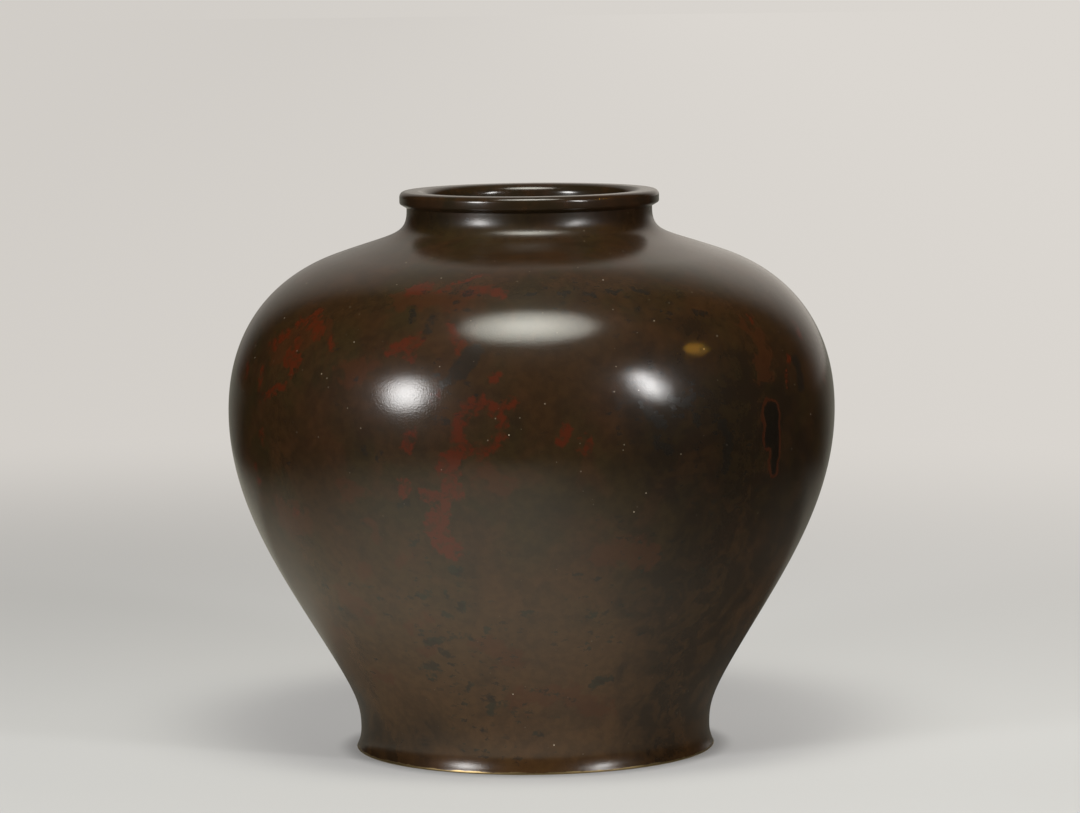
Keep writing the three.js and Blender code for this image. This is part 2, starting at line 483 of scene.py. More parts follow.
BACK_SEED = 11
BACK_RED_COUNT = 26
BACK_DARK_COUNT = 90
RAGGED = 1.3  # how far a stroke's edge wanders, in millimetres
RAGGED_LENGTH = 6
STROKE_SPREAD = 0.25  # how far a mark runs past its stroke's edge
FIELD_REACH = 12  # fields stop this far outside a stroke


def on_back(chance):
    """A random stroke on the half of the vase that the photograph doesn't show."""
    heights = [p[1] for p in OUTSIDE]
    radii = [p[0] for p in OUTSIDE]
    turn = chance.uniform(radians(8), radians(172))
    height = chance.uniform(12, 205)
    points = []
    for _ in range(chance.integers(2, 5)):
        radius = float(np.interp(height, heights, radii))
        points.append((radius * cos(turn) * MM, radius * sin(turn) * MM, height * MM))
        turn += chance.normal(0, 5 / radius)
        height = min(max(height + chance.normal(0, 7), 8), 208)
    return points


def stroke_field(places, strokes):
    """Millimetres inside the nearest stroke's edge, negative outside it. Strokes are (width, places in metres)."""
    field = np.full(len(places), -float(FIELD_REACH))
    for width, points in strokes:
        points = np.array(points, float)
        for start, end in zip(points[:-1], points[1:]):
            along = end - start
            share = np.clip((places - start) @ along / (along @ along), 0, 1)[:, None]
            gap = np.linalg.norm(places - start - share * along, axis=1) / MM
            field = np.maximum(field, width / 2 + STROKE_SPREAD - gap)
    return field


def photo_strokes(strokes):
    return [(width, [on_vase(x, y) for x, y in pixels]) for width, pixels in strokes]


def paint_patina(piece, outside_count):
    places = coordinates(piece)
    wander = np.array([noise.noise_vector(Vector(p) / (RAGGED_LENGTH * MM)) for p in places])
    places = places + wander * RAGGED * MM
    outside = np.zeros(len(places), bool)
    outside[:outside_count] = True

    def keep(name, strokes):
        field = np.full(len(places), -float(FIELD_REACH))
        field[outside] = stroke_field(places[outside], strokes)
        set_field(piece, name, field)

    chance = np.random.default_rng(BACK_SEED)
    back_red = [(chance.uniform(2, 8), on_back(chance)) for _ in range(BACK_RED_COUNT)]
    back_rose = [(chance.uniform(6, 14), on_back(chance)) for _ in range(BACK_RED_COUNT)]
    back_dark = [(chance.uniform(1, 4), on_back(chance)) for _ in range(BACK_DARK_COUNT)]
    back_flecks = [(40, on_back(chance)) for _ in range(4)]
    keep("red_marks", photo_strokes(RED_STROKES) + back_red)
    keep("rose_marks", photo_strokes(ROSE_STROKES) + back_rose)
    keep("dark_marks", photo_strokes(DARK_STROKES) + back_dark)
    keep("oval_mark", photo_strokes(OVAL_STROKES))
    keep("fleck_zone", photo_strokes(FLECK_STROKES) + back_flecks)
    keep("dull_patina_and_foot_shade_zone", photo_strokes(DULL_PATINA_AND_FOOT_SHADE_STROKES))


# Mouth ring, base plate and filler metal

def mouth_ring():
    outer = NECK_RADIUS + RING_OVERHANG
    bevel_top = RING_UNDERSIDE + RING_BEVEL_HEIGHT
    groove_outer = NECK_RADIUS + SEAT_GAP
    groove_top = NECK_END + SEAT_GAP
    bevel = atan2(RING_BEVEL_HEIGHT, outer - groove_outer)
    normal = bevel - radians(90)
    lower_centre = bevel_top + RING_LOWER_ROUND * tan(-normal / 2)
    section = [
        (groove_outer, RING_UNDERSIDE),
        *arc(outer - RING_LOWER_ROUND, lower_centre, RING_LOWER_ROUND, np.degrees(normal), 0),
        *arc(outer - RING_OUTER_ROUND, RING_TOP - RING_OUTER_ROUND, RING_OUTER_ROUND, 0, 90),
        *arc(MOUTH_RADIUS + RING_LIP_ROUND, RING_TOP - RING_LIP_ROUND, RING_LIP_ROUND, 90, 180),
        (MOUTH_RADIUS, SKIRT_END),
        (SKIRT_RADIUS, SKIRT_END),
        (SKIRT_RADIUS, groove_top),
        (groove_outer, groove_top),
    ]
    return turned("bronze_mouth_ring", section, RING_TURN_STEPS)


def base_plate():
    rim = BASE_BORE - SEAT_GAP
    boss = LEDGE_BORE - SEAT_GAP
    dish = boss - DISH_MARGIN
    dish_top = FLOOR_HEIGHT - FLOOR_THICKNESS
    rows = [dish * share for share in (0.25, 0.5, 0.75)]
    section = [
        (0, dish_top),
        *[(radius, dish_top) for radius in rows],
        (dish - DISH_SLOPE, dish_top),
        (dish, BASE_RECESS),
        (rim, BASE_RECESS),
        (rim, RIM_TOP),
        (boss, RIM_TOP),
        (boss, FLOOR_HEIGHT),
        *[(radius, FLOOR_HEIGHT) for radius in rows[::-1]],
        (0, FLOOR_HEIGHT),
    ]
    return turned("bronze_base_plate", section, BASE_TURN_STEPS, closed=False)


def fillet(name, outer, top, leg, lumps):
    """A run of filler metal in a corner: a slightly hollow face, uneven along its length."""
    hollow = leg * 0.12
    section = [
        (outer, top - leg),
        (outer, top),
        (outer - leg, top),
        (outer - leg * 0.72 + hollow, top - leg * 0.28 + hollow),
        (outer - leg * 0.5 + hollow, top - leg * 0.5 + hollow),
        (outer - leg * 0.28 + hollow, top - leg * 0.72 + hollow),
    ]
    piece = turned(name, section, BASE_TURN_STEPS)
    places = coordinates(piece)
    face = np.arange(len(places)) // BASE_TURN_STEPS >= 3
    lump = (0.5 + 0.5 * wave(places, lumps)) * leg * 0.14 * MM * face
    radius = np.hypot(places[:, 0], places[:, 1])
    places[:, :2] *= (1 + lump / radius)[:, None]
    places[:, 2] += lump
    set_coordinates(piece, places)
    return piece


# Shader helpers

def add(tree, kind, settings=None, **sockets):
    """A node with its settings, and its sockets set to a value or joined to another node's output."""
    node = tree.nodes.new("ShaderNode" + kind)
    for name, value in (settings or {}).items():
        setattr(node, name, value)
    for name, value in sockets.items():
        socket = node.inputs[int(name[1:])] if name[0] == "_" else node.inputs[name.replace("_", " ")]
        if isinstance(value, bpy.types.NodeSocket):
            tree.links.new(value, socket)
        else:
            socket.default_value = value
    return node


def maths(tree, operation, first, second=0.0, clamp=False):
    settings = {"operation": operation, "use_clamp": clamp}
    return add(tree, "Math", settings, _0=first, _1=second).outputs[0]


def share(tree, mask, part):
    return maths(tree, "MULTIPLY", mask, part)


def blend(tree, mask, first, second):
    """The second colour laid over the first where the mask is 1."""
    node = add(tree, "Mix", {"data_type": "RGBA"})
    for socket, value in ((node.inputs[0], mask), (node.inputs[6], first), (node.inputs[7], second)):
        if isinstance(value, bpy.types.NodeSocket):
            tree.links.new(value, socket)
        else:
            socket.default_value = value
    return node.outputs[2]


def between(tree, mask, first, second):
    """A number that goes from the first to the second as the mask goes from 0 to 1."""
    return add(tree, "Mix", {"data_type": "FLOAT"}, _0=mask, _2=first, _3=second).outputs[0]


def ramp(tree, value, low, high, to_low=0.0, to_high=1.0):
    """A smooth step of a value from low to high."""
    settings = {"interpolation_type": "SMOOTHSTEP"}
    node = add(tree, "MapRange", settings, _0=value, _1=low, _2=high, _3=to_low, _4=to_high)
    return node.outputs[0]


def field(tree, name):
    return add(tree, "Attribute", {"attribute_name": name}).outputs["Fac"]


def group(name, inputs, outputs):
    """An empty node group with float inputs (name, value) and float outputs, given by name."""
    tree = bpy.data.node_groups.new(name, "ShaderNodeTree")
    for label, value in inputs:
        socket = tree.interface.new_socket(label, in_out="INPUT", socket_type="NodeSocketFloat")
        socket.default_value = value
    for label in outputs:
        tree.interface.new_socket(label, in_out="OUTPUT", socket_type="NodeSocketFloat")
    return tree, tree.nodes.new("NodeGroupInput").outputs, tree.nodes.new("NodeGroupOutput").inputs


def use(tree, made, **sockets):
    node = add(tree, "Group", {"node_tree": made}, **sockets)
    return node.outputs


SEED_STEP = 17.3  # how far apart two seeds sample a texture


def places_of(tree, size, seed=None):
    """Object coordinates, scaled so that one step of a texture is size millimetres, moved on by a seed."""
    coordinate = add(tree, "TexCoord").outputs["Object"]
    scale = maths(tree, "DIVIDE", 1 / MM, size)
    place = add(tree, "VectorMath", {"operation": "SCALE"}, _0=coordinate, Scale=scale).outputs[0]
    if seed is None:
        return place
    moved = maths(tree, "MULTIPLY", seed, SEED_STEP)
    return add(tree, "VectorMath", {"operation": "ADD"}, _0=place, _1=moved).outputs[0]


# Effects that several materials share

def make_clouds():
    """Soft uneven patches of a finish. Cover is the share of the surface inside them."""
    tree, given, out = group(
        "clouds", [("Size", 40), ("Cover", 0.5), ("Softness", 0.15), ("Seed", 0)], ["Mask"]
    )
    place = places_of(tree, given["Size"], given["Seed"])
    shapes = add(tree, "TexNoise", Vector=place, Scale=1.0, Detail=5.0, Roughness=0.55, Distortion=0.5)
    level = maths(tree, "SUBTRACT", 0.68, maths(tree, "MULTIPLY", given["Cover"], 0.36))
    low = maths(tree, "SUBTRACT", level, given["Softness"])
    high = maths(tree, "ADD", level, given["Softness"])
    tree.links.new(ramp(tree, shapes.outputs[0], low, high), out["Mask"])
    return tree


def make_flecks():
    """Scattered small spots of uneven size. Spacing and Size are millimetres, Share is how many cells hold one."""
    tree, given, out = group(
        "flecks", [("Spacing", 6), ("Size", 1), ("Share", 0.3), ("Ragged", 0.4), ("Seed", 0), ("Flat", 1)], ["Mask"]
    )
    place = places_of(tree, given["Spacing"], given["Seed"])
    squeeze = add(tree, "CombineXYZ", X=1.0, Y=1.0, Z=given["Flat"]).outputs[0]
    place = add(tree, "VectorMath", {"operation": "MULTIPLY"}, _0=place, _1=squeeze).outputs[0]
    crumbs = add(tree, "TexNoise", Vector=place, Scale=2.6, Detail=2.0, Roughness=0.6)
    centred = add(tree, "VectorMath", {"operation": "SUBTRACT"},
                  _0=crumbs.outputs["Color"], _1=(0.5, 0.5, 0.5)).outputs[0]
    pushed = add(tree, "VectorMath", {"operation": "MULTIPLY_ADD"}, _0=centred, _2=place)
    ragged = add(tree, "CombineXYZ", X=given["Ragged"], Y=given["Ragged"], Z=given["Ragged"])
    tree.links.new(ragged.outputs[0], pushed.inputs[1])
    cells = add(tree, "TexVoronoi", Vector=pushed.outputs[0], Scale=1.0, Randomness=0.9)
    parts = add(tree, "SeparateColor", Color=cells.outputs["Color"]).outputs
    there = maths(tree, "LESS_THAN", parts[0], given["Share"])
    radius = maths(tree, "DIVIDE", given["Size"], given["Spacing"])
    radius = maths(tree, "MULTIPLY", radius, maths(tree, "ADD", maths(tree, "MULTIPLY", parts[1], 0.5), 0.2))
    inner = maths(tree, "MULTIPLY", radius, 0.6)
    spot = ramp(tree, cells.outputs["Distance"], inner, radius, 1.0, 0.0)
    spot = maths(tree, "MULTIPLY", spot, maths(tree, "ADD", share(tree, parts[2], 0.6), 0.4))
    tree.links.new(maths(tree, "MULTIPLY", there, spot), out["Mask"])
    return tree


def make_skin_grain():
    """Fine unevenness of rubbed metal: heights for a bump, from pores to slow swells."""
    tree, given, out = group("skin_grain", [("Size", 3), ("Seed", 0)], ["Height"])
    place = places_of(tree, given["Size"], given["Seed"])
    shapes = add(tree, "TexNoise", Vector=place, Scale=1.0, Detail=4.0, Roughness=0.5)
    tree.links.new(shapes.outputs[0], out["Height"])
    return tree


def make_turning():
    """Faint rings left by turning or rubbing round the axis, Spacing millimetres apart."""
    tree, given, out = group("turning_marks", [("Spacing", 1.2)], ["Height"])
    coordinate = add(tree, "TexCoord").outputs["Object"]
    parts = add(tree, "SeparateXYZ", Vector=coordinate).outputs
    radius = add(tree, "CombineXYZ", X=parts["X"], Y=parts["Y"]).outputs[0]
    radius = add(tree, "VectorMath", {"operation": "LENGTH"}, _0=radius).outputs["Value"]
    place = add(tree, "CombineXYZ", X=radius, Z=parts["Z"]).outputs[0]
    scale = maths(tree, "DIVIDE", 1 / MM, given["Spacing"])
    place = add(tree, "VectorMath", {"operation": "SCALE"}, _0=place, Scale=scale).outputs[0]
    lines = add(tree, "TexNoise", Vector=place, Scale=1.0, Detail=2.0, Roughness=0.6)
    tree.links.new(lines.outputs[0], out["Height"])
    return tree


CLOUDS = make_clouds()
FLECKS = make_flecks()
GRAIN = make_skin_grain()
TURNING = make_turning()


def material(name, display_colour):
    made = bpy.data.materials.new(name)
    made.use_nodes = True
    made.diffuse_color = display_colour
    tree = made.node_tree
    return made, tree, tree.nodes["Principled BSDF"]


def connect(tree, surface, **sockets):
    for name, value in sockets.items():
        socket = surface.inputs[name.replace("_", " ")]
        if isinstance(value, bpy.types.NodeSocket):
            tree.links.new(value, socket)
        else:
            socket.default_value = value


def bump(tree, height, distance, normal=None):
    node = add(tree, "Bump", Height=height, Distance=distance * MM, Strength=1.0)
    if normal is not None:
        tree.links.new(normal, node.inputs["Normal"])
    return node.outputs[0]


# Finishes

BROWN = (0.030, 0.0142, 0.0045, 1)
OLIVE = (0.026, 0.0155, 0.0048, 1)
WARM = (0.043, 0.0175, 0.0060, 1)
LOW_WARM = (0.060, 0.0285, 0.0095, 1)
DEEP = (0.013, 0.0078, 0.0040, 1)
RED = (0.064, 0.0120, 0.0030, 1)
ROSE = (0.052, 0.0155, 0.0045, 1)
INK = (0.006, 0.0045, 0.0030, 1)
SLATE = (0.0135, 0.0150, 0.0088, 1)
UMBER = (0.010, 0.0078, 0.0052, 1)
PINHOLE_GLINT = (0.62, 0.52, 0.38, 1)
RING_BROWN = (0.019, 0.0100, 0.0045, 1)
RING_OLIVE = (0.016, 0.0105, 0.0046, 1)
BASE_BROWN = (0.15, 0.095, 0.048, 1)
BASE_DARK = (0.05, 0.035, 0.02, 1)
BARE_BRONZE = (0.36, 0.26, 0.12, 1)
CORE_BROWN = (0.040, 0.026, 0.014, 1)
VERDIGRIS = (0.055, 0.075, 0.055, 1)
BRASS = (0.48, 0.34, 0.15, 1)
TIN = (0.38, 0.375, 0.36, 1)
SOOT = (0.02, 0.018, 0.015, 1)


NOISE_SPREAD = 0.13  # how far the grain's heights usually stray from their middle, 0.5
LOW_WARM_TOP = 0.12  # the patina grows warmer and paler below this height


def ragged(tree, name, size, reach, seed):
    """A stroke field whose edge is moved by fine noise that usually reaches so many millimetres."""
    crumbs = use(tree, GRAIN, Size=size, Seed=seed)["Height"]
    push = maths(tree, "MULTIPLY", maths(tree, "SUBTRACT", crumbs, 0.5), reach / NOISE_SPREAD)
    return maths(tree, "ADD", field(tree, name), push)


def shade(tree, colour, value):
    """A colour made darker or lighter by a factor."""
    return add(tree, "VectorMath", {"operation": "SCALE"}, _0=colour, Scale=value).outputs[0]


def single_pinholes_and_glints(tree):
    """The mask of the pinholes that the photograph shows one by one."""
    coordinate = add(tree, "TexCoord").outputs["Object"]
    holes = 0.0
    for size, pixel in PINHOLES_AND_GLINTS:
        offset = add(tree, "VectorMath", {"operation": "DISTANCE"}, _0=coordinate, _1=tuple(on_vase(*pixel)))
        spot = ramp(tree, offset.outputs["Value"], size * 0.2 * MM, size * 0.5 * MM, 1.0, 0.0)
        holes = maths(tree, "MAXIMUM", holes, spot)
    return holes


def patinated_bronze():
    made, tree, surface = material("patinated_bronze", (0.03, 0.015, 0.006, 1))
    height = add(tree, "SeparateXYZ", Vector=add(tree, "TexCoord").outputs["Object"]).outputs["Z"]
    colour = blend(tree, use(tree, CLOUDS, Size=55.0, Cover=0.5, Softness=0.08, Seed=1.0)[0], BROWN, OLIVE)
    warm = use(tree, CLOUDS, Size=20.0, Cover=0.4, Softness=0.07, Seed=2.0)[0]
    colour = blend(tree, share(tree, warm, 0.45), colour, WARM)
    colour = blend(tree, ramp(tree, height, 0.03, LOW_WARM_TOP, 0.75, 0.0), colour, LOW_WARM)
    deep = use(tree, CLOUDS, Size=12.0, Cover=0.35, Softness=0.07, Seed=5.0)[0]
    colour = blend(tree, share(tree, deep, 0.25), colour, DEEP)
    fine = use(tree, GRAIN, Size=3.5, Seed=12.0)["Height"]
    colour = shade(tree, colour, ramp(tree, fine, 0.35, 0.65, 0.9, 1.1))
    # Darker and less waxed on the right of the belly, and painted shade at both sides of the foot.
    dull = ramp(tree, ragged(tree, "dull_patina_and_foot_shade_zone", 18.0, 7.0, 13.0), -12, 12)
    mottle = use(tree, CLOUDS, Size=9.0, Cover=0.55, Softness=0.07, Seed=8.0)[0]
    dark_share = maths(tree, "ADD", share(tree, mottle, 0.35), 0.45)
    colour = blend(tree, maths(tree, "MULTIPLY", dull, dark_share), colour, DEEP)

    rose = ramp(tree, ragged(tree, "rose_marks", 5.0, 2.6, 14.0), -1.8, 2.2)
    colour = blend(tree, share(tree, rose, 0.5), colour, ROSE)
    red = ramp(tree, ragged(tree, "red_marks", 2.6, 1.2, 3.0), -0.9, 1.2)
    body = use(tree, CLOUDS, Size=3.4, Cover=0.65, Softness=0.08, Seed=6.0)[0]
    red = maths(tree, "MULTIPLY", red, maths(tree, "ADD", share(tree, body, 0.65), 0.35))
    colour = blend(tree, red, colour, RED)

    dark = ramp(tree, ragged(tree, "dark_marks", 1.8, 0.7, 15.0), -0.6, 0.9)
    bluish = use(tree, CLOUDS, Size=6.0, Cover=0.5, Softness=0.08, Seed=18.0)[0]
    bluish = maths(tree, "MULTIPLY", bluish, ramp(tree, height, 0.09, 0.13, 1.0, 0.0))
    fleck_colour = blend(tree, bluish, UMBER, SLATE)
    colour = blend(tree, share(tree, dark, 0.72), colour, fleck_colour)
    oval = ragged(tree, "oval_mark", 4.0, 0.5, 4.0)
    rim = maths(tree, "MULTIPLY", ramp(tree, oval, -1.2, -0.3), ramp(tree, oval, 0.4, 1.2, 1.0, 0.0))
    colour = blend(tree, share(tree, rim, 0.42), colour, RED)
    colour = blend(tree, share(tree, ramp(tree, oval, 0.3, 1.6), 0.75), colour, INK)

    zone = ramp(tree, ragged(tree, "fleck_zone", 15.0, 5.0, 16.0), -8, 8)
    thick = use(tree, FLECKS, Spacing=4.2, Size=3.2, Share=share(tree, zone, 0.55), Ragged=1.3, Seed=17.0, Flat=1.7)[0]
    thin = use(tree, FLECKS, Spacing=9.0, Size=3.0, Share=0.25, Ragged=1.3, Seed=2.0, Flat=2.0)[0]
    flecks = maths(tree, "MAXIMUM", thick, share(tree, thin, 0.7))
    colour = blend(tree, share(tree, flecks, 0.8), colour, fleck_colour)
    scattered_pinholes_and_glints = use(tree, FLECKS, Spacing=4.5, Size=0.6, Share=0.6, Ragged=0.0, Seed=4.0)[0]
    scattered_pinholes_and_glints = maths(tree, "MULTIPLY", scattered_pinholes_and_glints, ramp(tree, height, 0.11, 0.15, 0.08, 0.42))
    pinholes_and_glints = maths(tree, "MAXIMUM", single_pinholes_and_glints(tree), scattered_pinholes_and_glints)
    # Painted glint: the pale colour of the pits stands in for the light they catch; the pits are also bumped below.
    colour = blend(tree, share(tree, pinholes_and_glints, 0.85), colour, PINHOLE_GLINT)

    colour = shade(tree, colour, ramp(tree, height, 0.06, 0.17, 1.2, 0.8))
    chips = use(tree, GRAIN, Size=8.0, Seed=9.0)["Height"]
    line = maths(tree, "ADD", share(tree, chips, 1.6 * MM), 0.1 * MM)
    worn = ramp(tree, maths(tree, "SUBTRACT", height, line), -0.2 * MM, 0.2 * MM, 1.0, 0.0)
    colour = blend(tree, worn, colour, BARE_BRONZE)

    gloss = use(tree, CLOUDS, Size=14.0, Cover=0.5, Softness=0.2, Seed=11.0)[0]
    roughness = maths(tree, "ADD", share(tree, gloss, 0.04), 0.115)
    roughness = maths(tree, "ADD", roughness, share(tree, maths(tree, "MAXIMUM", dark, flecks), 0.05))
    # The hollow of the neck and the foot's edge are rubbed less.
    unrubbed = maths(tree, "ADD", ramp(tree, height, 0.204, 0.216, 0.0, 0.11), ramp(tree, height, 0.004, 0.016, 0.08, 0.0))
    roughness = maths(tree, "ADD", roughness, unrubbed)
    roughness = maths(tree, "ADD", roughness, share(tree, worn, 0.15))
    haze = maths(tree, "SUBTRACT", 0.19, share(tree, dull, 0.03))
    haze = maths(tree, "MULTIPLY", haze, ramp(tree, height, 0.006, 0.020, 0.25, 1.0))
    normal = bump(tree, use(tree, GRAIN, Size=11.0, Seed=7.0)["Height"], 0.04)
    normal = bump(tree, use(tree, GRAIN, Size=0.65, Seed=5.0)["Height"], 0.034, normal)
    normal = bump(tree, use(tree, TURNING, Spacing=0.9)[0], 0.004, normal)
    normal = bump(tree, maths(tree, "SUBTRACT", 1.0, pinholes_and_glints), 0.05, normal)
    connect(tree, surface, Base_Color=colour, Roughness=roughness, Metallic=worn, Coat_Weight=haze, Normal=normal)
    connect(tree, surface, IOR=1.5, Specular_IOR_Level=0.5, Coat_Roughness=0.45, Coat_IOR=1.5)
    return made


def raw_casting():
    """The unfinished inside: core-rough metal gone dull brown, with a little green where water stood."""
    made, tree, surface = material("raw_casting", (0.05, 0.035, 0.02, 1))
    colour = blend(tree, use(tree, CLOUDS, Size=30.0, Cover=0.45, Softness=0.15, Seed=14.0)[0], CORE_BROWN, SOOT)
    green = use(tree, CLOUDS, Size=12.0, Cover=0.2, Softness=0.1, Seed=15.0)[0]
    colour = blend(tree, maths(tree, "MULTIPLY", green, 0.5), colour, VERDIGRIS)
    pits = use(tree, FLECKS, Spacing=3.5, Size=1.6, Share=0.5, Ragged=0.8, Seed=5.0)[0]
    normal = bump(tree, use(tree, GRAIN, Size=2.2, Seed=8.0)["Height"], 0.25)
    normal = bump(tree, maths(tree, "SUBTRACT", 1.0, pits), 0.12, normal)
    roughness = maths(tree, "ADD", maths(tree, "MULTIPLY", pits, 0.15), 0.6)
    connect(tree, surface, Base_Color=colour, Roughness=roughness, Normal=normal, Metallic=0.25)
    return made


def ring_bronze():
    made, tree, surface = material("ring_bronze", (0.05, 0.03, 0.02, 1))
    colour = blend(tree, use(tree, CLOUDS, Size=30.0, Cover=0.5, Softness=0.14, Seed=21.0)[0], RING_BROWN, RING_OLIVE)
    warm = use(tree, CLOUDS, Size=8.0, Cover=0.3, Softness=0.16, Seed=22.0)[0]
    colour = blend(tree, maths(tree, "MULTIPLY", warm, 0.4), colour, WARM)
    specks = use(tree, FLECKS, Spacing=7.0, Size=1.2, Share=0.25, Ragged=0.7, Seed=23.0)[0]
    colour = blend(tree, maths(tree, "MULTIPLY", specks, 0.5), colour, INK)
    normal = bump(tree, use(tree, TURNING, Spacing=0.9)[0], 0.004)
    normal = bump(tree, use(tree, GRAIN, Size=4.0, Seed=9.0)["Height"], 0.02, normal)
    roughness = maths(tree, "ADD", maths(tree, "MULTIPLY", warm, 0.03), 0.16)
    connect(tree, surface, Base_Color=colour, Roughness=roughness, Normal=normal, Coat_Weight=0.08)
    connect(tree, surface, IOR=1.5, Specular_IOR_Level=0.6, Coat_Roughness=0.45, Coat_IOR=1.5)
    return made


def base_bronze():
    made, tree, surface = material("base_bronze", (0.12, 0.08, 0.05, 1))
    stain = use(tree, CLOUDS, Size=22.0, Cover=0.5, Softness=0.14, Seed=31.0)[0]
    colour = blend(tree, stain, BASE_BROWN, BASE_DARK)
    green = use(tree, CLOUDS, Size=9.0, Cover=0.12, Softness=0.1, Seed=32.0)[0]
    colour = blend(tree, maths(tree, "MULTIPLY", green, 0.6), colour, VERDIGRIS)
    specks = use(tree, FLECKS, Spacing=5.0, Size=1.5, Share=0.3, Ragged=0.9, Seed=33.0)[0]
    colour = blend(tree, maths(tree, "MULTIPLY", specks, 0.6), colour, SOOT)
    normal = bump(tree, use(tree, TURNING, Spacing=0.8)[0], 0.04)
    roughness = maths(tree, "ADD", maths(tree, "MULTIPLY", stain, 0.18), 0.42)
    metal = maths(tree, "SUBTRACT", 0.85, maths(tree, "MULTIPLY", stain, 0.5))
    connect(tree, surface, Base_Color=colour, Roughness=roughness, Metallic=metal, Normal=normal)
    return made


def filler_metal(name, colour, seed, tarnish):
    made, tree, surface = material(name, colour)
    spots = use(tree, CLOUDS, Size=6.0, Cover=0.45, Softness=0.16, Seed=seed)[0]
    shade = blend(tree, maths(tree, "MULTIPLY", spots, tarnish), colour, SOOT)
    normal = bump(tree, use(tree, GRAIN, Size=2.5, Seed=seed)["Height"], 0.12)
    roughness = maths(tree, "ADD", maths(tree, "MULTIPLY", spots, 0.2), 0.4)
    connect(tree, surface, Base_Color=shade, Roughness=roughness, Metallic=0.9, Normal=normal)
    return made


# Pieces

vase, outside_count = casting()
hand_finish(vase, outside_count)
paint_patina(vase, outside_count)
dress(vase, "vase_body", "patinated_bronze", patinated_bronze(), raw_casting())
dress(mouth_ring(), "mouth_ring", "ring_bronze", ring_bronze())
dress(base_plate(), "base_plate", "base_bronze", base_bronze())
braze = fillet("braze_fillet", NECK_BORE - SEAT_GAP, SKIRT_END - SEAT_GAP, BRAZE_LEG, 7)
dress(braze, "mouth_braze", "braze", filler_metal("braze", BRASS, 41.0, 0.7))
solder = fillet("solder_fillet", BASE_BORE - SEAT_GAP, BASE_RECESS - SEAT_GAP, SOLDER_LEG, 9)
dress(solder, "base_solder", "solder", filler_metal("solder", TIN, 42.0, 0.5))


# Stage: a pale table, what the bronze mirrors of it, and a plain surround

FLOOR_REACH = 14
FAR_PALE = (0.675, 0.645, 0.607, 1)
NEAR_PALE = (0.325, 0.32, 0.31, 1)
TABLE_MATT = (0.357, 0.361, 0.367, 1)
MIRRORED_TABLE = (1, 0.965, 0.80, 1)
MIRRORED_BACKDROP = (1, 0.925, 0.83, 1)
TABLE_FRONT = -0.585
BRIGHT_PLACE, BRIGHT_REACH, FRONT_REACH, BRIGHTNESS = (-0.08, -0.17), (0.27, 0.20), (0.30, 0.36), 0.84


def gauss(tree, coordinate, centre, reach):
    """A bright patch on the floor that fades out in all directions."""
    offset = add(tree, "VectorMath", {"operation": "SUBTRACT"}, _0=coordinate, _1=(*centre, 0)).outputs[0]
    scaled = add(tree, "VectorMath", {"operation": "DIVIDE"}, _0=offset, _1=(*reach, 1)).outputs[0]
    length = add(tree, "VectorMath", {"operation": "LENGTH"}, _0=scaled).outputs["Value"]
    square = maths(tree, "MULTIPLY", length, length)
    return maths(tree, "EXPONENT", maths(tree, "MULTIPLY", square, -1.0))


def flat_length(tree, parts):
    flat = add(tree, "CombineXYZ", X=parts["X"], Y=parts["Y"]).outputs[0]
    return add(tree, "VectorMath", {"operation": "LENGTH"}, _0=flat).outputs["Value"]


def behind_left_right(tree, parts):
    """How far a direction points away from the camera, as masks for the left and the right side."""
    turned_back = maths(tree, "DIVIDE", parts["Y"], flat_length(tree, parts))
    left = ramp(tree, maths(tree, "ADD", turned_back, share(tree, parts["Z"], 0.15)), 0.82, 1.03)
    right = ramp(tree, maths(tree, "ADD", turned_back, share(tree, parts["Z"], 0.08)), 0.68, 1.0)
    return left, right


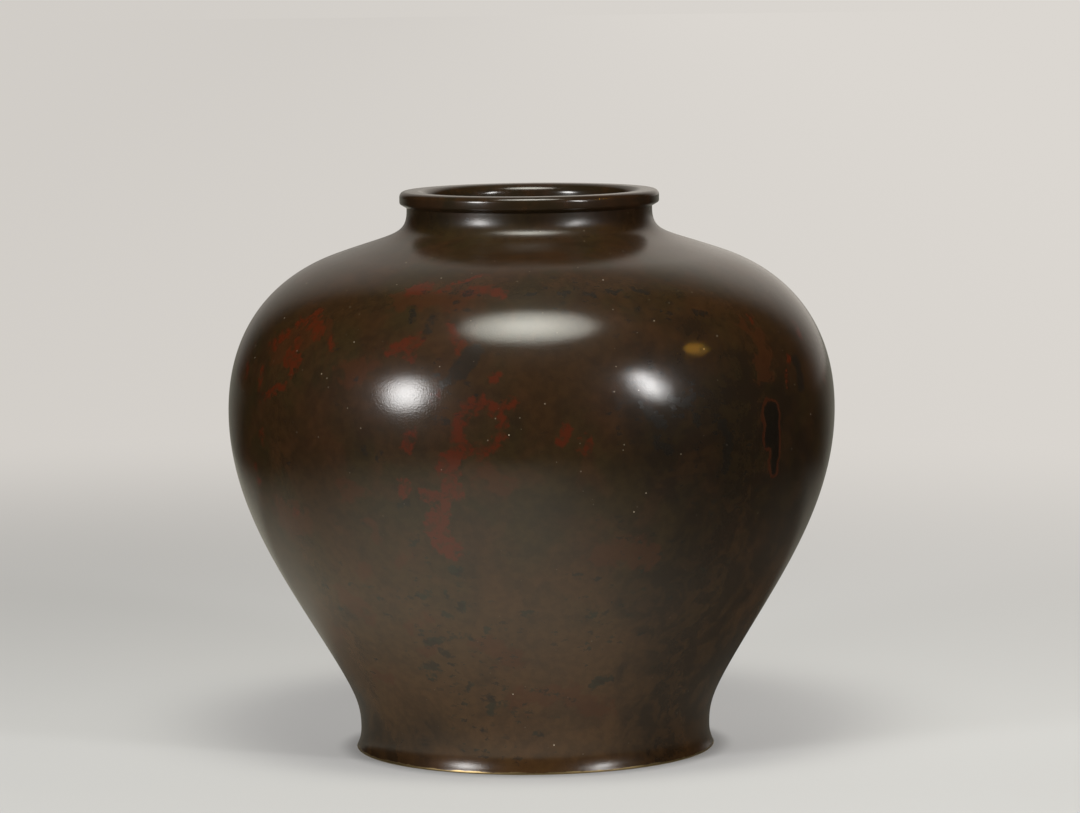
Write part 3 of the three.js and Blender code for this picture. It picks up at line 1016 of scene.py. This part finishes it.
def mirrored_floor(tree, coordinate, parts):
    """How bright the polished bronze mirrors each place on the floor."""
    in_front = ramp(tree, parts["Y"], BRIGHT_PLACE[1] - 0.01, BRIGHT_PLACE[1] + 0.01, 1.0, 0.0)
    behind_patch = gauss(tree, coordinate, BRIGHT_PLACE, BRIGHT_REACH)
    before_patch = gauss(tree, coordinate, BRIGHT_PLACE, FRONT_REACH)
    bright = share(tree, between(tree, in_front, behind_patch, before_patch), BRIGHTNESS)
    bright = maths(tree, "MULTIPLY", bright, ramp(tree, parts["X"], 0.0, 0.20, 1.0, 0.4))
    away = add(tree, "VectorMath", {"operation": "LENGTH"}, _0=coordinate).outputs["Value"]
    plateau = maths(tree, "MULTIPLY", ramp(tree, parts["X"], -0.14, -0.02, 0.24, 0.05),
                    ramp(tree, parts["Y"], -0.08, 0.10))
    plateau = maths(tree, "MULTIPLY", plateau, ramp(tree, away, 0.25, 0.55, 1.0, 0.0))
    near = maths(tree, "ADD", bright, plateau)
    # The vase keeps light off the floor at both sides of its foot.
    on_right = ramp(tree, parts["X"], -0.02, 0.02)
    left_gap = add(tree, "VectorMath", {"operation": "DISTANCE"}, _0=coordinate, _1=(0, 0.05, 0)).outputs["Value"]
    right_gap = add(tree, "VectorMath", {"operation": "DISTANCE"}, _0=coordinate, _1=(0, 0.1, 0)).outputs["Value"]
    left_shade = ramp(tree, left_gap, 0.11, 0.18, 0.27, 1.0)
    right_shade = ramp(tree, right_gap, 0.16, 0.23, 0.45, 1.0)
    near = maths(tree, "MULTIPLY", near, between(tree, on_right, left_shade, right_shade))
    across = maths(tree, "ABSOLUTE", parts["X"])
    back = maths(tree, "MULTIPLY", ramp(tree, across, 0.25, 0.5, 0.36, 0.0), ramp(tree, parts["Y"], 0.12, 0.3))
    back = maths(tree, "MULTIPLY", back, between(tree, on_right, 1.0, 0.45))
    left, right = behind_left_right(tree, parts)
    far = maths(tree, "MULTIPLY", maths(tree, "MAXIMUM", left, right), ramp(tree, parts["Y"], 0.2, 0.6, 0.0, 0.22))
    lit = maths(tree, "MAXIMUM", maths(tree, "MAXIMUM", near, back), far)
    return maths(tree, "MULTIPLY", lit, ramp(tree, parts["Y"], TABLE_FRONT - 0.008, TABLE_FRONT + 0.008))


def floor_material():
    made = bpy.data.materials.new("pale_table")
    made.use_nodes = True
    tree = made.node_tree
    tree.nodes.clear()
    coordinate = add(tree, "TexCoord").outputs["Object"]
    parts = add(tree, "SeparateXYZ", Vector=coordinate).outputs
    away = add(tree, "VectorMath", {"operation": "LENGTH"}, _0=coordinate).outputs["Value"]
    left_of_middle = add(tree, "VectorMath", {"operation": "DISTANCE"}, _0=coordinate, _1=(-0.15, 0, 0)).outputs["Value"]
    near = ramp(tree, left_of_middle, 0.30, 1.2, 1.0, 0.0)
    matt = add(tree, "BsdfDiffuse", Color=blend(tree, near, (0, 0, 0, 1), TABLE_MATT))
    pale = blend(tree, near, FAR_PALE, NEAR_PALE)
    # Painted light and shade in the table's glow: paler towards the right, a little darker in front, and a painted
    # contact shadow, darkest round the foot.
    painted_light_tilt_near = ramp(tree, parts["X"], -0.24, 0.24, 0.80, 1.06)
    painted_light_tilt_far = ramp(tree, parts["X"], -0.8, 0.8, 0.945, 1.05)
    level = maths(tree, "MULTIPLY", between(tree, near, painted_light_tilt_far, painted_light_tilt_near), ramp(tree, parts["Y"], -0.16, 0.10, 0.77, 1.0))
    painted_contact_shadow = ramp(tree, away, 0.0735, 0.084, 0.4, 1.0)
    glow = add(tree, "Emission", Color=pale, Strength=maths(tree, "MULTIPLY", level, painted_contact_shadow))
    seen = add(tree, "AddShader", _0=matt.outputs[0], _1=glow.outputs[0])
    mirror = add(tree, "Emission", Color=MIRRORED_TABLE, Strength=mirrored_floor(tree, coordinate, parts))
    path = add(tree, "LightPath").outputs["Is Glossy Ray"]
    out = add(tree, "MixShader", _0=path, _1=seen.outputs[0], _2=mirror.outputs[0])
    end = add(tree, "OutputMaterial")
    tree.links.new(out.outputs[0], end.inputs[0])
    return made


def floor():
    mesh = bpy.data.meshes.new("floor")
    corner = FLOOR_REACH
    corners = [(-corner, -corner, 0), (corner, -corner, 0), (corner, corner, 0), (-corner, corner, 0)]
    mesh.from_pydata(corners, [], [(0, 1, 2, 3)])
    piece = bpy.data.objects.new("floor", mesh)
    bpy.context.scene.collection.objects.link(piece)
    mesh.materials.append(floor_material())


ROOM_LIGHT = 0.10


def surround():
    """Pale where the camera looks. The bronze mirrors a pale backdrop behind it and a dark room elsewhere."""
    world = bpy.data.worlds.new("surround")
    bpy.context.scene.world = world
    world.use_nodes = True
    tree = world.node_tree
    tree.nodes.clear()
    direction = add(tree, "TexCoord").outputs["Generated"]
    parts = add(tree, "SeparateXYZ", Vector=direction).outputs
    left, right = behind_left_right(tree, parts)
    left = maths(tree, "MULTIPLY", left, ramp(tree, parts["Z"], 0.5, 1.0, 0.37, 0.155))
    right = maths(tree, "MULTIPLY", right, ramp(tree, parts["Z"], 0.46, 0.82, 0.67, 0.13))
    backdrop = between(tree, ramp(tree, parts["X"], -0.1, 0.1), left, right)
    path = add(tree, "LightPath").outputs
    lit = maths(tree, "MULTIPLY", path["Is Diffuse Ray"], ROOM_LIGHT)
    strength = maths(tree, "ADD", backdrop, lit)
    # The camera sees the backdrop a little brighter towards the right.
    seen = ramp(tree, parts["X"], -0.12, 0.12, 0.945, 1.05)
    strength = between(tree, path["Is Camera Ray"], strength, seen)
    tone = blend(tree, path["Is Camera Ray"], MIRRORED_BACKDROP, FAR_PALE)
    back = add(tree, "Background", Color=tone, Strength=strength)
    end = add(tree, "OutputWorld")
    tree.links.new(back.outputs[0], end.inputs[0])


def soft_lamp(name, place, aim, size, radiance, colour, roll=0):
    """An area lamp of the given radiance, turned towards its aim. It shows only by its light and its reflections."""
    lamp = bpy.data.lights.new(name, "AREA")
    lamp.shape = "ELLIPSE"
    lamp.size, lamp.size_y = size
    area = size[0] * size[1] * np.pi / 4
    lamp.energy = radiance * np.pi * area
    lamp.color = colour
    holder = bpy.data.objects.new(name, lamp)
    holder.location = place
    aimed = (Vector(aim) - Vector(place)).to_track_quat("-Z", "Y").to_matrix()
    holder.rotation_euler = (aimed @ Matrix.Rotation(radians(roll), 3, "Z")).to_euler()
    holder.visible_camera = False
    bpy.context.scene.collection.objects.link(holder)


# A soft box fades from its middle to its rim: each ring's size, and its share of the middle's radiance.
SOFT_BOX_RINGS = ((0.5, 0.45), (0.85, 0.33), (1.3, 0.22))


def soft_box(name, place, size, radiance, colour, roll=0):
    """A lamp behind cloth, aimed at the vase: brighter in its middle than towards its rim."""
    for number, (reach, part) in enumerate(SOFT_BOX_RINGS):
        ring = (size[0] * reach, size[1] * reach)
        soft_lamp(f"{name}_{number}", place, MIDDLE, ring, radiance * part, colour, roll)


def along(start, azimuth, elevation, distance):
    """The place at a distance from a start, azimuth 0 towards the camera and positive to its right."""
    azimuth, elevation = radians(azimuth), radians(elevation)
    step = Vector((sin(azimuth) * cos(elevation), -cos(azimuth) * cos(elevation), sin(elevation)))
    return Vector(start) + step * distance


BELLY_LEFT = (-0.0489, -0.1129, 0.1581)
BELLY_RIGHT = (0.0453, -0.1135, 0.1614)
SHOULDER_FRONT = (0, -0.080, 0.190)
MIDDLE = (0, 0, 0.12)

floor()
surround()
WHITE = (1, 0.99, 0.98)
SHOULDER_RIGHT = (0.065, -0.094, 0.172)
ABOVE = along(SHOULDER_FRONT, 0.6, 70.0, 0.9) + Vector((-0.010, 0, 0))
SMALL_PLACE = along(SHOULDER_RIGHT, 78.6, 36.7, 1.2)
soft_box("lamp_left", along(BELLY_LEFT, -49.4, 16.7, 0.94), (0.23, 0.245), 55, WHITE)
soft_box("lamp_right", along(BELLY_RIGHT, 46.9, 21.2, 0.97), (0.27, 0.125), 69, WHITE, roll=-66)
soft_box("lamp_above", ABOVE, (0.485, 0.345), 28, (1, 0.985, 0.88), roll=4)
soft_lamp("lamp_small_warm", SMALL_PLACE, MIDDLE, (0.016, 0.016), 380, (1, 0.50, 0.05))

bpy.context.scene.view_settings.view_transform = "Standard"
